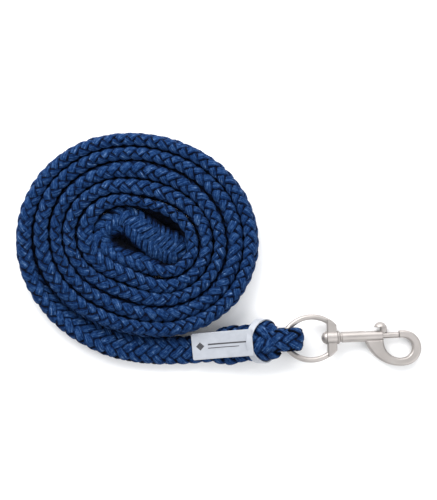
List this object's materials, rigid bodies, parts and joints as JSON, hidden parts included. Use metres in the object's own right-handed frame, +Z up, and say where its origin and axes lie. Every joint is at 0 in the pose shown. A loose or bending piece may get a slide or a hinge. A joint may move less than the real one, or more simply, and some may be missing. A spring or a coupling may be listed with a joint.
{
  "type": "lead rope",
  "caption": "Flat braided horse lead rope wound in a loose coil, with an eye splice, a label strap and a swivel bolt snap.",
  "frame": {"origin": "the surface the rope lies on, under the pole of the coil's spiral", "axes": "+Z up from that surface; +X the way the tail and the snap lead off the coil; +Y across, the side of the snap's thumb knob"},
  "size_m": [0.299, 0.171, 0.0227],
  "materials": {
    "rope": "soft matte multifilament braid, royal to navy blue",
    "label": "matte moulded flexible plastic, light cool grey",
    "nickel": "satin nickel plate on a zinc casting",
    "spring_steel": "drawn spring wire"
  },
  "bodies": {
    "rope": {"rope_coil": "rope", "rope_tail": "rope", "rope_splice": "rope", "rope_eye": "rope", "label_strap": "label"},
    "eye": {"swivel_eye": "nickel"},
    "snap": {"snap_body": "nickel", "swivel_rivet": "nickel", "bolt_spring": "spring_steel"},
    "bolt": {"bolt_pin": "nickel", "thumb_knob": "nickel"}
  },
  "joints": [
    {"name": "eye_swing", "type": "hinge", "parent": "rope", "child": "eye", "pos_m": [0.1071, -0.0717, 0.0114], "axis": [0.0384, -0.9993, 0], "range_deg": [0, 100]},
    {"name": "swivel", "type": "hinge", "parent": "eye", "child": "snap", "pos_m": [0.1071, -0.0717, 0.0114], "axis": [0.9958, 0.0383, -0.0837], "continuous": true},
    {"name": "bolt_slide", "type": "slide", "parent": "snap", "child": "bolt", "axis": [-0.9958, -0.0383, 0.0837], "range_m": [0, 0.012], "stiffness_N_per_m": 300, "springref_m": -0.01, "deforming": ["bolt_spring"]}
  ]
}
